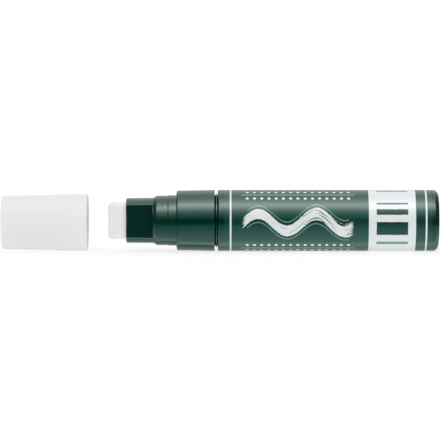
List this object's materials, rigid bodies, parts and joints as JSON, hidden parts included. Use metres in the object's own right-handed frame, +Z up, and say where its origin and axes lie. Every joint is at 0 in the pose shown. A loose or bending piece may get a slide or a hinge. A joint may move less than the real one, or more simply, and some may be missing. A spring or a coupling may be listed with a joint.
{
  "type": "liquid chalk marker",
  "caption": "Fat liquid chalk marker with a broad felt nib in a flat-sided holder, a valve-fed ink barrel with a wrap label, and its push-on cap pulled off in front.",
  "frame": {"origin": "on the table under the middle of the whole length, cap included", "axes": "+X along the marker from the cap to the tail, +Y away from the viewer, +Z up"},
  "size_m": [0.1816, 0.0254, 0.0254],
  "materials": {
    "cap_plastic": "white translucent polypropylene, satin",
    "inner_cap_plastic": "natural polyethylene",
    "nib_felt": "white pressed felt",
    "valve_plastic": "natural polypropylene",
    "green_plastic": "moulded bottle green polypropylene",
    "seal_rubber": "soft black rubber",
    "spring_steel": "drawn stainless wire",
    "label_film": "printed film with a satin varnish",
    "ball_steel": "polished stainless steel"
  },
  "bodies": {
    "marker": {"barrel": "green_plastic", "label": "label_film", "holder": "green_plastic", "valve_case": "valve_plastic", "spring_retainer": "valve_plastic", "valve_spring": "spring_steel"},
    "cap": {"cap": "cap_plastic", "inner_cap": "inner_cap_plastic"},
    "nib": {"nib": "nib_felt", "nib_carrier": "valve_plastic"},
    "plunger": {"valve_plunger": "valve_plastic", "valve_seal": "seal_rubber"},
    "ball_1": {"mixing_ball_1": "ball_steel"},
    "ball_2": {"mixing_ball_2": "ball_steel"}
  },
  "joints": [
    {"name": "cap_push", "type": "slide", "parent": "marker", "child": "cap", "axis": [0.9997, 0, 0.0224], "range_m": [0, 0.03661]},
    {"name": "nib_press", "type": "slide", "parent": "marker", "child": "nib", "axis": [1, 0, 0], "range_m": [0, 0.002], "stiffness_N_per_m": 600, "springref_m": -0.002},
    {"name": "plunger_travel", "type": "slide", "parent": "marker", "child": "plunger", "axis": [1, 0, 0], "range_m": [0, 0.002], "deforming": ["valve_spring"]},
    {"name": "ball_roll_1", "type": "slide", "parent": "marker", "child": "ball_1", "axis": [1, 0, 0], "range_m": [-0.0741, 0]},
    {"name": "ball_roll_2", "type": "slide", "parent": "marker", "child": "ball_2", "axis": [1, 0, 0], "range_m": [-0.0741, 0]}
  ],
  "couplings": [
    {"joint": "plunger_travel", "follows": "nib_press", "ratio": 1}
  ]
}
